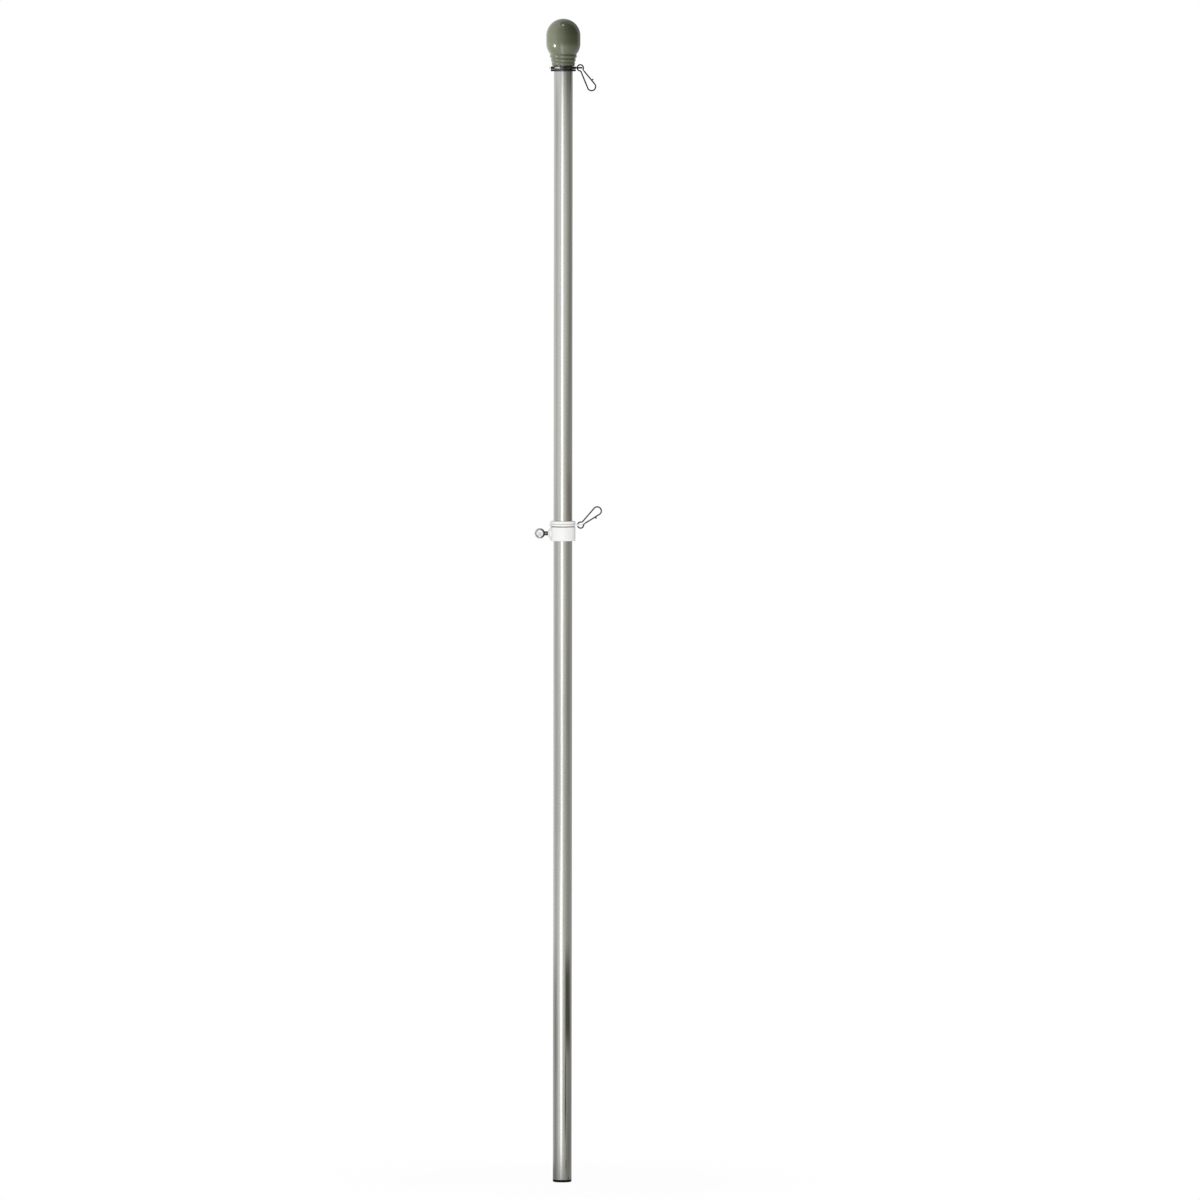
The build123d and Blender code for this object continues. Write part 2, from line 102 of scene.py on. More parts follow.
REFLECTED_HIGH = (
    (-178, 0.60, NEUTRAL),
    (-120, 1.00, NEUTRAL),
    (-70, 1.42, NEUTRAL),
    (-38, 1.00, NEUTRAL),
    (0, 0.38, NEUTRAL),
    (22, 0.08, WARM),
    (45, 0.02, WARM),
    (95, 0.02, NEUTRAL),
    (122, 0.50, NEUTRAL),
    (145, 0.25, NEUTRAL),
    (178, 0.60, NEUTRAL),
)
LIGHT_LOW = (
    (-178, 0.80, NEUTRAL),
    (-110, 0.86, NEUTRAL),
    (-40, 1.25, NEUTRAL),
    (10, 1.25, NEUTRAL),
    (50, 1.00, NEUTRAL),
    (90, 0.80, NEUTRAL),
    (178, 0.80, NEUTRAL),
)
LIGHT_HIGH = (
    (-178, 0.50, NEUTRAL),
    (-100, 1.40, NEUTRAL),
    (-62, 1.70, NEUTRAL),
    (-32, 1.10, NEUTRAL),
    (0, 0.30, NEUTRAL),
    (24, 0.03, NEUTRAL),
    (125, 0.03, NEUTRAL),
    (178, 0.50, NEUTRAL),
)

# Level cards that close the reflected wall at its top and just above the floor
CEILING_SHADE = (0.22, 0.21, 0.19, 1)
FLOOR_CARD_SHADE = (0.40, 0.40, 0.38, 1)
FLOOR_CARD_HEIGHT = 0.001

# Thumb screw: its place and its coin's size come from its CAD node. THREAD_END and
# SHOULDER_START are values of X.
SCREW_LOW, SCREW_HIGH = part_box("thumb_screw")
SCREW_LEVEL = (SCREW_LOW.z + SCREW_HIGH.z) / 2
COIN_RADIUS = (SCREW_HIGH.z - SCREW_LOW.z) / 2
COIN_CENTRE = SCREW_LOW.x + COIN_RADIUS
COIN_HALF_THICKNESS = 0.0015
COIN_RIM_WIDTH = 0.0015
COIN_DISH = 0.0006
COIN_EDGE = 0.0005
EDGE_STEPS = 6
RIM_NOTCHES = 44
NOTCH_DEPTH = 0.00022
SHANK_RADIUS = 0.0029
THREAD_DEPTH = 0.0003
THREAD_PITCH = 0.001
THREAD_END = -0.0242
SHOULDER_START = -0.0250
SHOULDER_END = COIN_CENTRE + COIN_RADIUS * 0.55
SHOULDER_STEPS = 14
SHOULDER_HALF_WIDTH = 0.0044
SHOULDER_HALF_DEPTH = COIN_HALF_THICKNESS * 0.92


# ------------------------------------------------------------------ camera, light and floor
def add_camera():
    """A long lens far in front of the pole."""
    data = bpy.data.cameras.new("camera")
    data.sensor_width = SENSOR
    data.lens = SENSOR * CAMERA_DISTANCE / FRAME_WIDTH
    data.clip_end = 100
    camera = bpy.data.objects.new("camera", data)
    bpy.context.scene.collection.objects.link(camera)
    camera.location = (CAMERA_SIDE, -CAMERA_DISTANCE, CAMERA_HEIGHT)
    aim = Vector((CAMERA_SIDE, 0, AIM_HEIGHT)) - camera.location
    roll = Quaternion((0, 0, 1), radians(CAMERA_ROLL))
    camera.rotation_euler = (aim.to_track_quat("-Z", "Y") @ roll).to_euler()
    bpy.context.scene.camera = camera


def place_toward(obj, azimuth, elevation, distance, target_height):
    """Put obj at an azimuth and elevation seen from a point on the pole, facing that point."""
    target = Vector((0, 0, target_height))
    flat = cos(radians(elevation))
    direction = Vector(
        (sin(radians(azimuth)) * flat, -cos(radians(azimuth)) * flat, sin(radians(elevation)))
    )
    obj.location = target + direction * distance
    obj.rotation_euler = (-direction).to_track_quat("-Z", "Y").to_euler()


def add_softbox(name, azimuth, elevation, distance, size, radiance, target_height):
    """Oval area lamp. Its power comes from the radiance its face should have."""
    data = bpy.data.lights.new(name, "AREA")
    data.shape = "ELLIPSE"
    data.size, data.size_y = size
    data.energy = radiance * pi * size[0] * size[1]
    lamp = bpy.data.objects.new(name, data)
    bpy.context.scene.collection.objects.link(lamp)
    place_toward(lamp, azimuth, elevation, distance, target_height)
    lamp.visible_camera = False
    return lamp


def narrow(lamp, degrees):
    """Keep a lamp's light within a cone, as bright along its axis as before."""
    half = radians(degrees) / 2
    lamp.data.spread = 2 * half
    lamp.data.energy *= (tan(half) - half) / tan(half)


def surround(obj):
    """Make obj a stage piece that the camera doesn't see and that casts no shadow."""
    obj.visible_camera = False
    obj.visible_shadow = False


def emission_material(name):
    """Start a material with only an Emission shader and return both.

    Rays meet it by chance alone, which is less noisy here than aiming them at it.
    """
    material = bpy.data.materials.new(name)
    material.use_nodes = True
    tree = material.node_tree
    tree.nodes.remove(tree.nodes["Principled BSDF"])
    emission = tree.nodes.new("ShaderNodeEmission")
    tree.links.new(emission.outputs["Emission"], tree.nodes["Material Output"].inputs["Surface"])
    material.cycles.emission_sampling = "NONE"
    return material, emission


def wall_shade(tree, stops, angle):
    """Colour of a wall at an angle in radians, from its list of stops."""
    first, last = stops[0][0], stops[-1][0]
    ramp = tree.nodes.new("ShaderNodeValToRGB")
    ramp.color_ramp.interpolation = "EASE"
    while len(ramp.color_ramp.elements) < len(stops):
        ramp.color_ramp.elements.new(0.5)
    for element, (azimuth, brightness, tint) in zip(ramp.color_ramp.elements, stops):
        element.position = (azimuth - first) / (last - first)
        element.color = (*(brightness * part for part in tint), 1)
    tree.links.new(remap(tree, angle, radians(first), radians(last), 0, 1), ramp.inputs["Fac"])
    return ramp.outputs["Color"]


def add_wall(name, lower_stops, upper_stops, hidden_from):
    """Open glowing cylinder round the pole. hidden_from names the kind of ray that passes it."""
    bpy.ops.mesh.primitive_cylinder_add(
        vertices=72, radius=WALL_RADIUS, depth=WALL_TOP, end_fill_type="NOTHING",
        location=(0, 0, WALL_TOP / 2),
    )
    wall = bpy.context.object
    wall.name = name
    material, emission = emission_material(name)
    tree = material.node_tree
    position = tree.nodes.new("ShaderNodeNewGeometry").outputs["Position"]
    angle = angle_round(tree, position)
    height = separate(tree, position)["Z"]
    lower = wall_shade(tree, lower_stops, angle)
    upper = wall_shade(tree, upper_stops, angle)
    change = remap(tree, height, *WALL_CHANGE, 0, 1, True)
    tree.links.new(blend_colours(tree, change, lower, upper), emission.inputs["Color"])
    low, high, darkest = WALL_FADE
    tree.links.new(remap(tree, height, low, high, darkest, 1, True), emission.inputs["Strength"])
    wall.data.materials.append(material)
    surround(wall)
    setattr(wall, hidden_from, False)


def add_flat_card(name, height, shade):
    """Level card that only metal and gloss show."""
    bpy.ops.mesh.primitive_circle_add(
        vertices=48, radius=WALL_RADIUS, fill_type="NGON", location=(0, 0, height)
    )
    card = bpy.context.object
    card.name = name
    material, emission = emission_material(name)
    emission.inputs["Color"].default_value = shade
    card.data.materials.append(material)
    card.visible_diffuse = False
    surround(card)


def light_only(lamp, name):
    """Let a lamp light nothing but the named object."""
    receivers = bpy.data.collections.new(lamp.name + "_receivers")
    receivers.objects.link(bpy.data.objects[name])
    for member in receivers.collection_objects:
        member.light_linking.link_state = "INCLUDE"
    lamp.light_linking.receiver_collection = receivers


def add_glints():
    """A bright spot low on the ball's left, a small one on its top, and one on the upper ring."""
    spark = add_softbox(
        "spark", azimuth=-61, elevation=-14.5, distance=0.19, size=(0.07, 0.055), radiance=30,
        target_height=BALL_MIDDLE,
    )
    narrow(spark, degrees=22)
    light_only(spark, "ball")
    top_spark = add_softbox(
        "top_spark", azimuth=-4, elevation=72, distance=0.18, size=(0.035, 0.035), radiance=4,
        target_height=BALL_MIDDLE,
    )
    light_only(top_spark, "ball")
    ring_spark = add_softbox(
        "ring_spark", azimuth=-56, elevation=0, distance=0.18, size=(0.15, 0.03), radiance=11,
        target_height=NECK_BOTTOM,
    )
    light_only(ring_spark, "upper_ring")


def add_world():
    """White background."""
    world = bpy.data.worlds.new("studio")
    bpy.context.scene.world = world
    world.use_nodes = True
    background = world.node_tree.nodes["Background"]
    background.inputs["Color"].default_value = (1, 1, 1, 1)
    background.inputs["Strength"].default_value = 1.0


def seen_directly(tree):
    """1 for camera, glossy and transmission rays, else 0."""
    path = tree.nodes.new("ShaderNodeLightPath").outputs
    mirrored = compute(tree, "MAXIMUM", path["Is Camera Ray"], path["Is Glossy Ray"])
    return compute(tree, "MAXIMUM", mirrored, path["Is Transmission Ray"])


def add_floor():
    """Pale floor that keeps the shadow near the foot and fades to white further out."""
    bpy.ops.mesh.primitive_circle_add(vertices=96, radius=FLOOR_RADIUS, fill_type="NGON")
    floor = bpy.context.object
    floor.name = "floor"
    tree, surface = new_material("floor")
    finish(surface, Base_Color=FLOOR_COLOUR, Roughness=0.9, Specular_IOR_Level=0.1)
    position = tree.nodes.new("ShaderNodeNewGeometry").outputs["Position"]
    distance = tree.nodes.new("ShaderNodeVectorMath")
    distance.operation = "LENGTH"
    tree.links.new(position, distance.inputs[0])
    fade = tree.nodes.new("ShaderNodeMapRange")
    fade.interpolation_type = "SMOOTHERSTEP"
    fade.inputs["From Min"].default_value = FLOOR_NEAR
    fade.inputs["From Max"].default_value = FLOOR_FAR
    fade.inputs["To Min"].default_value = FLOOR_WHITE_NEAR
    tree.links.new(distance.outputs["Value"], fade.inputs["Value"])
    whiteness = compute(tree, "MULTIPLY", fade.outputs["Result"], seen_directly(tree))
    white = tree.nodes.new("ShaderNodeEmission")
    mix = tree.nodes.new("ShaderNodeMixShader")
    tree.links.new(whiteness, mix.inputs["Fac"])
    tree.links.new(surface.outputs["BSDF"], mix.inputs[1])
    tree.links.new(white.outputs["Emission"], mix.inputs[2])
    tree.links.new(mix.outputs["Shader"], tree.nodes["Material Output"].inputs["Surface"])
    floor.data.materials.append(bpy.data.materials["floor"])


# ------------------------------------------------------------------ material helpers
def new_material(name):
    """Start a node material and return its tree and its Principled shader."""
    material = bpy.data.materials.new(name)
    material.use_nodes = True
    tree = material.node_tree
    return tree, tree.nodes["Principled BSDF"]


def finish(surface, **values):
    """Set a shader's constant inputs. Underscores in the names stand for spaces."""
    for key, value in values.items():
        surface.inputs[key.replace("_", " ")].default_value = value


def object_point(tree, scale=(1, 1, 1)):
    """Object coordinates, in metres, stretched by scale."""
    coordinates = tree.nodes.new("ShaderNodeTexCoord")
    mapping = tree.nodes.new("ShaderNodeMapping")
    mapping.inputs["Scale"].default_value = scale
    tree.links.new(coordinates.outputs["Object"], mapping.inputs["Vector"])
    return mapping.outputs["Vector"]


def separate(tree, vector):
    """The three coordinates of a vector."""
    node = tree.nodes.new("ShaderNodeSeparateXYZ")
    tree.links.new(vector, node.inputs[0])
    return node.outputs


def angle_round(tree, point):
    """Angle of a point round the pole in radians, 0 at the front and growing toward +X."""
    x, y = separate(tree, point)[:2]
    return compute(tree, "ARCTAN2", x, compute(tree, "MULTIPLY", y, -1.0))


def radius_from(tree, first, second):
    """Length of a vector from its two coordinates."""
    squares = [compute(tree, "POWER", part, 2.0) for part in (first, second)]
    return compute(tree, "SQRT", compute(tree, "ADD", *squares))


def noise(tree, vector, scale, detail, roughness):
    """Fractal noise, about 0.3 to 0.7."""
    node = tree.nodes.new("ShaderNodeTexNoise")
    node.inputs["Scale"].default_value = scale
    node.inputs["Detail"].default_value = detail
    node.inputs["Roughness"].default_value = roughness
    tree.links.new(vector, node.inputs["Vector"])
    return node.outputs["Fac"]


def remap(tree, value, low, high, to_low, to_high, smooth=False):
    """Value carried from one range to another and held at its ends."""
    node = tree.nodes.new("ShaderNodeMapRange")
    if smooth:
        node.interpolation_type = "SMOOTHSTEP"
    node.inputs["From Min"].default_value = low
    node.inputs["From Max"].default_value = high
    node.inputs["To Min"].default_value = to_low
    node.inputs["To Max"].default_value = to_high
    tree.links.new(value, node.inputs["Value"])
    return node.outputs["Result"]


def blend_colours(tree, factor, first, second):
    """Mix of two colours, each a socket or four numbers."""
    node = tree.nodes.new("ShaderNodeMix")
    node.data_type = "RGBA"
    tree.links.new(factor, node.inputs["Factor"])
    for socket, colour in ((node.inputs[6], first), (node.inputs[7], second)):
        if isinstance(colour, tuple):
            socket.default_value = colour
        else:
            tree.links.new(colour, socket)
    return node.outputs[2]


def mottled(tree, pattern, low, high, first, second):
    """Colour that goes from first to second as the pattern rises from low to high."""
    return blend_colours(tree, remap(tree, pattern, low, high, 0, 1), first, second)


def compute(tree, operation, first, second=None, clamp=False):
    """One maths node on sockets or numbers."""
    node = tree.nodes.new("ShaderNodeMath")
    node.operation = operation
    node.use_clamp = clamp
    for socket, value in zip(node.inputs, (first, second)):
        if isinstance(value, (int, float)):
            socket.default_value = value
        elif value is not None:
            tree.links.new(value, socket)
    return node.outputs[0]


def grazing(tree, low, high, most=1.0):
    """Rises from nothing to most as the surface turns away from the eye."""
    facing = tree.nodes.new("ShaderNodeLayerWeight").outputs["Facing"]
    return remap(tree, facing, low, high, 0, most, True)


def bump(tree, surface, height, distance, strength):
    """Fine relief on a surface, distance metres deep."""
    node = tree.nodes.new("ShaderNodeBump")
    node.inputs["Distance"].default_value = distance
    node.inputs["Strength"].default_value = strength
    tree.links.new(height, node.inputs["Height"])
    tree.links.new(node.outputs["Normal"], surface.inputs["Normal"])


def roughen(tree, surface, pattern, roughness, depth, strength):
    """Roughness from one value to another as the pattern rises, and relief of the same form."""
    tree.links.new(remap(tree, pattern, 0.3, 0.7, *roughness), surface.inputs["Roughness"])
    bump(tree, surface, pattern, depth, strength)


# ------------------------------------------------------------------ materials
# Colours as linear red, green and blue, each with an alpha of 1
DRAWN_GREY = (0.475, 0.475, 0.46, 1)
DRAWN_GREY_LIGHT = (0.525, 0.525, 0.51, 1)
DRAWN_BAND = (0.43, 0.43, 0.395, 1)
HANDLED_CLOUD = (0.50, 0.475, 0.43, 1)
OLIVE = (0.099, 0.114, 0.062, 1)
OLIVE_LIGHT = (0.106, 0.121, 0.066, 1)
OLIVE_SPECK = (0.09, 0.105, 0.055, 1)
OLIVE_PALE = (0.135, 0.151, 0.094, 1)
# Near-black painted shadow for the gap under the ball's neck
PAINTED_NECK_SHADOW = (0.006, 0.006, 0.005, 1)
PLATING_DARK = (0.0423, 0.0441, 0.0432, 1)
PLATING_WORN = (0.1512, 0.1554, 0.1512, 1)
BRONZE_DARK = (0.0048, 0.0036, 0.0024, 1)
BRONZE_WORN = (0.06, 0.043, 0.026, 1)
WHITE = (0.77, 0.77, 0.762, 1)
WHITE_LIGHT = (0.79, 0.79, 0.782, 1)
# Grey painted shade for the white plastic's edges
PAINTED_EDGE_SHADE = (0.4, 0.4, 0.39, 1)
# Dark painted shade for the groove under the collar's lower ring
PAINTED_GROOVE_SHADE = (0.035, 0.033, 0.03, 1)
BLACK = (0.003, 0.003, 0.003, 1)
BLACK_LIGHT = (0.009, 0.009, 0.009, 1)
BRASS = (0.60, 0.47, 0.22, 1)
BRASS_TARNISHED = (0.42, 0.31, 0.15, 1)
ZINC = (0.24, 0.245, 0.25, 1)
ZINC_LIGHT = (0.50, 0.50, 0.495, 1)
# Dark painted shade for the thumb screw's outlines
PAINTED_ZINC_SHADE = (0.02, 0.02, 0.02, 1)
STEEL_DARK = (0.0126, 0.0133, 0.0126, 1)
STEEL_WORN = (0.06, 0.062, 0.06, 1)

# The ball grows paler between two heights below its middle, and a painted shadow line ends its neck
PALE_START = BALL_MIDDLE - 0.004
PALE_FULL = BALL_MIDDLE - 0.016
NECK_SHADOW_FULL = NECK_BOTTOM + 0.0007
NECK_SHADOW_END = NECK_BOTTOM + 0.0014

# Painted shade above the collar's shoulder, within the cap ring, in the groove where the lower ring
# turns
COLLAR_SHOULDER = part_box("lower_ring")[0].z - 0.00105
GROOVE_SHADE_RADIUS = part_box("cap_ring")[1].y - 0.0008
GROOVE_SHADE_EDGE = 0.0003

# Painted shade on the thumb screw: round the coin's rim on the shank's side, and beyond the coin
RIM_SHADE_START = COIN_RADIUS - 0.0030
RIM_SHADE_FULL = COIN_RADIUS - 0.0016
SHANK_SHADE_FULL = COIN_RADIUS + 0.0008

# Streaks on the tube: dark stains, a brown haze, painted highlights, painted reflection shade
# and patches darker toward the bottom. Azimuth and half width in degrees, lowest and highest
# point, softness of the ends, strength and colour
DARK_STAIN = (0.05, 0.05, 0.035, 1)
BROWN_HAZE = (0.36, 0.27, 0.25, 1)
# Darker colour for patches low on the tube, toward the bottom
LOW_DARK_PATCH = (0.10, 0.10, 0.08, 1)
# Lighter colour for a painted highlight on the tube's reflection
PAINTED_HIGHLIGHT = (0.68, 0.68, 0.63, 1)
# Darker colour for painted shade on the tube's reflection
PAINTED_REFLECTION_SHADE = (0.34, 0.34, 0.33, 1)
TUBE_STAINS_AND_PAINTED_LIGHT = (
    (21, 5, 0.085, 0.175, 0.02, 0.8, DARK_STAIN),
    (19, 4, 0.060, 0.115, 0.01, 0.6, DARK_STAIN),
    (25, 4, 0.019, 0.031, 0.002, 0.7, DARK_STAIN),
    (44, 6, 0.004, 0.007, 0.001, 0.9, DARK_STAIN),
    (50, 32, 0.893, 0.955, 0.02, 0.6, BROWN_HAZE),
    (36, 26, 0.185, 0.305, 0.03, 0.95, LOW_DARK_PATCH),
    (24, 15, 1.080, 1.400, 0.08, 0.55, PAINTED_HIGHLIGHT),
    (50, 13, 1.080, 1.380, 0.08, 0.55, PAINTED_REFLECTION_SHADE),
    (55, 13, 0.300, 0.860, 0.08, 0.5, PAINTED_HIGHLIGHT),
    (32, 12, 0.600, 0.740, 0.05, 0.4, PAINTED_REFLECTION_SHADE),
    (38, 22, -0.05, 0.08, 0.06, 0.3, LOW_DARK_PATCH),
    (-62, 36, -0.08, 0.30, 0.06, 0.5, LOW_DARK_PATCH),
    (-15, 12, -0.08, 0.42, 0.08, 0.8, PAINTED_HIGHLIGHT),
    (5, 9, 0.10, 0.42, 0.08, 0.45, PAINTED_REFLECTION_SHADE),
    (0, 60, 0.46, 0.72, 0.08, 0.3, PAINTED_REFLECTION_SHADE),
    (-42, 26, 0.90, 1.40, 0.08, 0.5, PAINTED_HIGHLIGHT),
    (-4, 16, 1.41, 1.58, 0.04, 0.35, PAINTED_REFLECTION_SHADE),
)


def streak_mask(tree, azimuth, half_width, low, high, softness):
    """1 inside an upright streak on the tube and 0 beyond it, with soft edges."""
    point = object_point(tree)
    z = separate(tree, point)["Z"]
    angle = angle_round(tree, point)
    off = compute(tree, "ABSOLUTE", compute(tree, "SUBTRACT", angle, radians(azimuth)))
    across = remap(tree, off, radians(half_width) * 0.4, radians(half_width), 1, 0, True)
    above = remap(tree, z, low - softness, low + softness, 0, 1, True)
    below = remap(tree, z, high - softness, high + softness, 1, 0, True)
    return compute(tree, "MULTIPLY", across, compute(tree, "MULTIPLY", above, below))


def aluminium():
    """Drawn tube: fine lines along it, cloudy handling marks, dark stains, painted highlights and
    shade.
    """
    tree, surface = new_material("brushed_aluminium")
    finish(surface, Metallic=1.0)
    lines = noise(tree, object_point(tree, (1, 1, 0.01)), 700, 3, 0.5)
    bands = noise(tree, object_point(tree, (1, 1, 0.03)), 120, 3, 0.5)
    clouds = noise(tree, object_point(tree, (1, 1, 0.12)), 55, 4, 0.6)
    height = separate(tree, object_point(tree))["Z"]
    colour = mottled(tree, lines, 0.35, 0.65, DRAWN_GREY, DRAWN_GREY_LIGHT)
    colour = blend_colours(tree, remap(tree, bands, 0.45, 0.62, 0, 0.5, True), colour, DRAWN_BAND)
    colour = blend_colours(tree, remap(tree, clouds, 0.52, 0.72, 0, 0.35, True), colour, HANDLED_CLOUD)
    # Each streak blends in a stain, a painted highlight, painted reflection shade or a darker low patch
    for azimuth, half_width, low, high, softness, strength, tint in TUBE_STAINS_AND_PAINTED_LIGHT:
        mask = streak_mask(tree, azimuth, half_width, low, high, softness)
        broken = remap(tree, bands, 0.3, 0.6, 0.6, 1.0)
        factor = compute(tree, "MULTIPLY", compute(tree, "MULTIPLY", mask, broken), strength)
        colour = blend_colours(tree, factor, colour, tint)
    tree.links.new(colour, surface.inputs["Base Color"])
    satin = remap(tree, clouds, 0.3, 0.7, -0.04, 0.04)
    worn = remap(tree, height, 0.0, OBJECT_TOP, 0.27, 0.25)
    tree.links.new(compute(tree, "ADD", satin, worn), surface.inputs["Roughness"])
    bump(tree, surface, lines, 0.000006, 0.6)


def gloss_green():
    """Ball: grey-green moulding with a clear gloss, a faintly uneven skin and a painted shadow at its
    neck.
    """
    tree, surface = new_material("grey_green_gloss")
    finish(surface, Roughness=0.4, Specular_IOR_Level=0.15)
    finish(surface, Coat_Weight=1.0, Coat_Roughness=0.13, Coat_IOR=1.6)
    cloud = noise(tree, object_point(tree), 60, 4, 0.55)
    speck = noise(tree, object_point(tree), 1200, 2, 0.5)
    colour = mottled(tree, cloud, 0.35, 0.65, OLIVE, OLIVE_LIGHT)
    colour = blend_colours(tree, remap(tree, speck, 0.62, 0.75, 0, 0.15), colour, OLIVE_SPECK)
    z = separate(tree, object_point(tree))["Z"]
    paler = remap(tree, z, PALE_FULL, PALE_START, 0.7, 0, True)
    colour = blend_colours(tree, paler, colour, OLIVE_PALE)
    # Painted shadow: the neck's lowest millimetre goes near black where it meets the upper ring
    shadow_gap = remap(tree, z, NECK_SHADOW_FULL, NECK_SHADOW_END, 0.95, 0, True)
    colour = blend_colours(tree, shadow_gap, colour, PAINTED_NECK_SHADOW)
    tree.links.new(colour, surface.inputs["Base Color"])
    bump(tree, surface, noise(tree, object_point(tree), 140, 2, 0.4), 0.00008, 0.3)


def dark_plating():
    """Upper ring and washer: darkened plating with brighter wear."""
    tree, surface = new_material("dark_plated_metal")
    finish(surface, Metallic=1.0, Specular_Tint=(0.084, 0.084, 0.084, 1))
    wear = noise(tree, object_point(tree), 160, 4, 0.5)
    colour = mottled(tree, wear, 0.45, 0.7, PLATING_DARK, PLATING_WORN)
    tree.links.new(colour, surface.inputs["Base Color"])
    roughen(tree, surface, wear, (0.14, 0.26), 0.00002, 0.2)


def bronze():
    """Upper clip: dark bronze wire, worn lighter in patches."""
    tree, surface = new_material("bronzed_wire")
    finish(surface, Metallic=1.0, Specular_Tint=(0.048, 0.036, 0.024, 1))
    wear = noise(tree, object_point(tree), 300, 5, 0.65)
    colour = mottled(tree, wear, 0.5, 0.68, BRONZE_DARK, BRONZE_WORN)
    tree.links.new(colour, surface.inputs["Base Color"])
    roughen(tree, surface, wear, (0.4, 0.26), 0.00008, 0.5)


def white_moulding():
    """Collar and its rings: white plastic with a soft mottle, painted shade in the ring's groove and
    toward the edges.
    """
    tree, surface = new_material("white_plastic")
    finish(surface, Roughness=0.42, Specular_IOR_Level=0.4)
    mottle = noise(tree, object_point(tree), 180, 4, 0.55)
    colour = mottled(tree, mottle, 0.35, 0.65, WHITE, WHITE_LIGHT)
    x, y, z = separate(tree, object_point(tree))
    # Painted shade in the groove above the collar's shoulder, under the lower ring
    within = remap(tree, radius_from(tree, x, y), GROOVE_SHADE_RADIUS, GROOVE_SHADE_RADIUS + GROOVE_SHADE_EDGE, 1, 0)
    above = remap(tree, z, COLLAR_SHOULDER - GROOVE_SHADE_EDGE, COLLAR_SHOULDER, 0, 1)
    groove_shade = compute(tree, "MULTIPLY", compute(tree, "MULTIPLY", within, above), 0.9)
    colour = blend_colours(tree, groove_shade, colour, PAINTED_GROOVE_SHADE)
    # Painted shade: greyer where the surface turns away from the eye
    colour = blend_colours(tree, grazing(tree, 0.25, 0.9, 0.5), colour, PAINTED_EDGE_SHADE)
    tree.links.new(colour, surface.inputs["Base Color"])
    bump(tree, surface, noise(tree, object_point(tree), 300, 3, 0.5), 0.00001, 0.5)


def black_moulding():
    """Foot plug: grainy black plastic."""
    tree, surface = new_material("black_plastic")
    finish(surface, Specular_IOR_Level=0.05)
    grain = noise(tree, object_point(tree), 900, 4, 0.6)
    colour = mottled(tree, grain, 0.4, 0.7, BLACK, BLACK_LIGHT)
    tree.links.new(colour, surface.inputs["Base Color"])
    roughen(tree, surface, grain, (0.4, 0.6), 0.0001, 0.5)


def brass():
    """Threaded insert in the boss: patchily tarnished brass."""
    tree, surface = new_material("insert_metal")
    finish(surface, Metallic=1.0)
    tarnish = noise(tree, object_point(tree), 500, 4, 0.6)
    colour = mottled(tree, tarnish, 0.4, 0.7, BRASS, BRASS_TARNISHED)
    tree.links.new(colour, surface.inputs["Base Color"])
    roughen(tree, surface, tarnish, (0.25, 0.45), 0.00005, 0.4)


def bright_plating():
    """Thumb screw: bright zinc with a crystalline mottle and painted shade round the coin's rim and
    along the shank.
    """
    tree, surface = new_material("bright_plated_steel")
    finish(surface, Metallic=1.0, Specular_Tint=(0.48, 0.48, 0.48, 1))
    spangle = noise(tree, object_point(tree), 260, 3, 0.6)
    colour = mottled(tree, spangle, 0.4, 0.65, ZINC, ZINC_LIGHT)
    point = separate(tree, object_point(tree))
    across = compute(tree, "SUBTRACT", point["X"], COIN_CENTRE)
    up = compute(tree, "SUBTRACT", point["Z"], SCREW_LEVEL)
    reach = radius_from(tree, across, up)
    # Painted shade: a dark outline round the coin's rim, strongest on the shank's side
    rim = remap(tree, reach, RIM_SHADE_START, RIM_SHADE_FULL, 0, 1, True)
    toward_shank = remap(tree, across, -COIN_RADIUS * 0.4, COIN_RADIUS * 0.6, 0.12, 0.97, True)
    beyond = remap(tree, reach, COIN_RADIUS, SHANK_SHADE_FULL, 0, 1, True)
    rim = compute(tree, "MULTIPLY", compute(tree, "SUBTRACT", rim, beyond), toward_shank)
    # Painted shade: dark edges along the shank where it turns away from the eye
    flank = compute(tree, "MULTIPLY", beyond, grazing(tree, 0.04, 0.22))
    colour = blend_colours(tree, compute(tree, "ADD", rim, flank, clamp=True), colour, PAINTED_ZINC_SHADE)
    tree.links.new(colour, surface.inputs["Base Color"])
    roughen(tree, surface, spangle, (0.16, 0.3), 0.0001, 0.4)


def steel():
    """Lower clip: dull grey spring wire."""
    tree, surface = new_material("steel_wire")
    finish(surface, Metallic=1.0, Specular_Tint=(0.09, 0.09, 0.09, 1))
    wear = noise(tree, object_point(tree), 350, 4, 0.6)
    colour = mottled(tree, wear, 0.4, 0.68, STEEL_DARK, STEEL_WORN)
    tree.links.new(colour, surface.inputs["Base Color"])
    roughen(tree, surface, wear, (0.24, 0.4), 0.00006, 0.4)


# ------------------------------------------------------------------ thumb screw
def mesh_object(name, vertices, faces, material):
    """Smooth-shaded object from points and faces, with outward normals."""
    mesh = bpy.data.meshes.new(name)
    mesh.from_pydata(vertices, [], faces)
    work = bmesh.new()
    work.from_mesh(mesh)
    bmesh.ops.recalc_face_normals(work, faces=work.faces)
    work.to_mesh(mesh)
    work.free()
    mesh.shade_smooth()
    mesh.set_sharp_from_angle(angle=radians(40))
    mesh.materials.append(bpy.data.materials[material])
    piece = bpy.data.objects.new(name, mesh)
    bpy.context.scene.collection.objects.link(piece)
    return piece


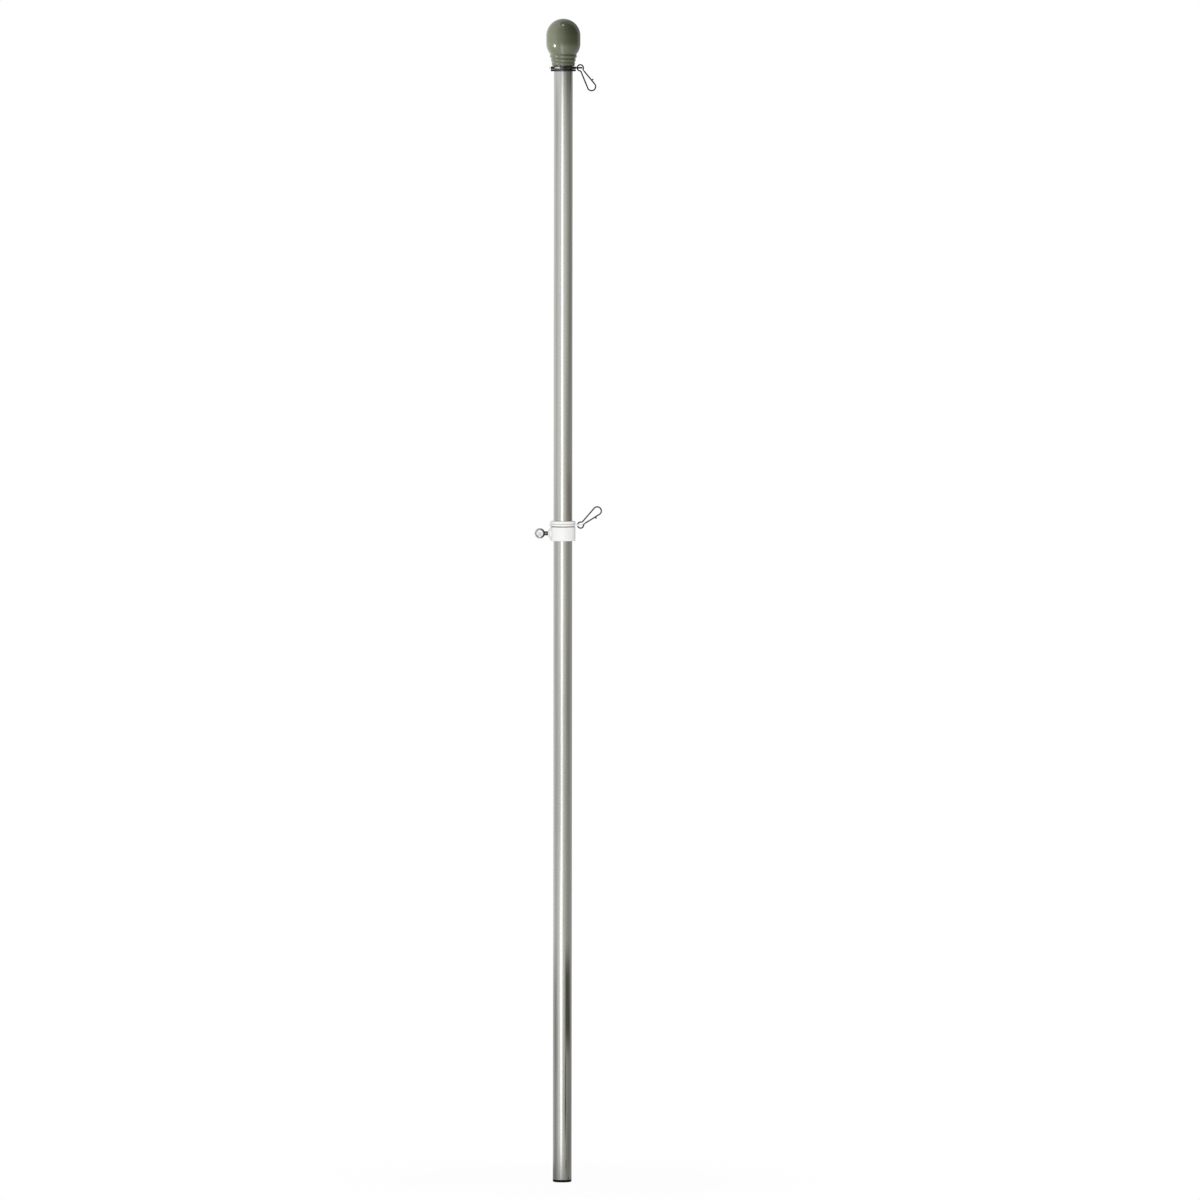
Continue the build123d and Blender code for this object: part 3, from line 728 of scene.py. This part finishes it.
def ring_faces(rings, sides):
    """Quads between consecutive rings of `sides` points, and a cap on each end."""
    faces = []
    for ring in range(rings - 1):
        for side in range(sides):
            here = ring * sides
            following = (side + 1) % sides
            faces.append((here + side, here + following, here + sides + following, here + sides + side))
    faces.append(tuple(range(sides)))
    faces.append(tuple(range((rings - 1) * sides, rings * sides)))
    return faces


def thread_radius(x, angle):
    """Radius of the shank's surface at x, with the thread's ridge winding along it."""
    turn = x / THREAD_PITCH + angle / (2 * pi)
    ridge = abs(2 * (turn % 1) - 1)
    run_out = min(1, max(0, (x - THREAD_END) / THREAD_PITCH))
    tip = min(1, max(0, (SCREW_HIGH.x - x) / THREAD_PITCH))
    return SHANK_RADIUS - THREAD_DEPTH * (run_out * ridge + 1 - tip)


def screw_shank(sides=48, steps_per_turn=10):
    """Threaded shank that flattens and flares into the coin."""
    points = []
    steps = round((SCREW_HIGH.x - SHOULDER_START) / THREAD_PITCH * steps_per_turn)
    for step in range(steps + 1):
        x = SCREW_HIGH.x + (SHOULDER_START - SCREW_HIGH.x) * step / steps
        for side in range(sides):
            angle = 2 * pi * side / sides
            radius = thread_radius(x, angle)
            points.append((x, radius * cos(angle), SCREW_LEVEL + radius * sin(angle)))
    for step in range(1, SHOULDER_STEPS + 1):
        part = step / SHOULDER_STEPS
        x = SHOULDER_START + (SHOULDER_END - SHOULDER_START) * part
        half_depth = SHANK_RADIUS + (SHOULDER_HALF_DEPTH - SHANK_RADIUS) * (1 - (1 - part) ** 2)
        half_width = SHANK_RADIUS + (SHOULDER_HALF_WIDTH - SHANK_RADIUS) * part ** 2
        for side in range(sides):
            angle = 2 * pi * side / sides
            points.append((x, half_depth * cos(angle), SCREW_LEVEL + half_width * sin(angle)))
    return points, ring_faces(len(points) // sides, sides)


def coin_profile():
    """The coin's outline as radius and depth, from one flat face round the rim to the other."""
    dish = COIN_RADIUS - COIN_RIM_WIDTH
    face = COIN_HALF_THICKNESS
    half = [
        (dish * 0.4, face - COIN_DISH),
        (dish - COIN_DISH, face - COIN_DISH),
        (dish - COIN_DISH * 0.3, face - COIN_DISH * 0.8),
        (dish, face - COIN_DISH * 0.3),
        (dish + COIN_DISH * 0.4, face),
    ]
    for step in range(EDGE_STEPS + 1):
        angle = pi / 2 * (1 - step / EDGE_STEPS)
        half.append((
            COIN_RADIUS - COIN_EDGE + COIN_EDGE * cos(angle),
            face - COIN_EDGE + COIN_EDGE * sin(angle),
        ))
    return half + [(radius, -depth) for radius, depth in reversed(half)]


def screw_coin(sides_per_notch=8):
    """Dished coin with a finely notched rim."""
    points = []
    sides = RIM_NOTCHES * sides_per_notch
    profile = coin_profile()
    for radius, depth in profile:
        on_rim = max(0.0, (radius - (COIN_RADIUS - COIN_EDGE)) / COIN_EDGE)
        for side in range(sides):
            angle = 2 * pi * side / sides
            notch = max(0.0, cos(angle * RIM_NOTCHES)) ** 3 * NOTCH_DEPTH * on_rim
            reach = radius - notch
            points.append((COIN_CENTRE + reach * cos(angle), depth, SCREW_LEVEL + reach * sin(angle)))
    return points, ring_faces(len(profile), sides)


def add_thumb_screw():
    """The screw in detail, in place of its plain CAD node."""
    for name, (points, faces) in (("screw_shank", screw_shank()), ("screw_coin", screw_coin())):
        piece = mesh_object(name, points, faces, "bright_plated_steel")
        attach(piece, "thumb_screw")
    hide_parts("thumb_screw")


# ------------------------------------------------------------------ scene
# Each new material takes the name that its nodes' own material had
SLOT_OF = {name: node.data.materials[0].name for name, node in nodes.items()}
for slot in sorted(set(SLOT_OF.values())):
    bpy.data.materials[slot].name = slot + "_cad"

add_camera()
add_world()
add_floor()
add_wall("reflected_wall", REFLECTED_LOW, REFLECTED_HIGH, "visible_diffuse")
add_wall("lighting_wall", LIGHT_LOW, LIGHT_HIGH, "visible_glossy")
add_flat_card("ceiling", WALL_TOP, CEILING_SHADE)
add_flat_card("floor_card", FLOOR_CARD_HEIGHT, FLOOR_CARD_SHADE)

for make_material in (
    aluminium, gloss_green, dark_plating, bronze, white_moulding, black_moulding, brass,
    bright_plating, steel,
):
    make_material()
for name, node in nodes.items():
    node.material_slots[0].material = bpy.data.materials[SLOT_OF[name]]
add_thumb_screw()

add_glints()
bpy.context.scene.view_settings.view_transform = "Standard"
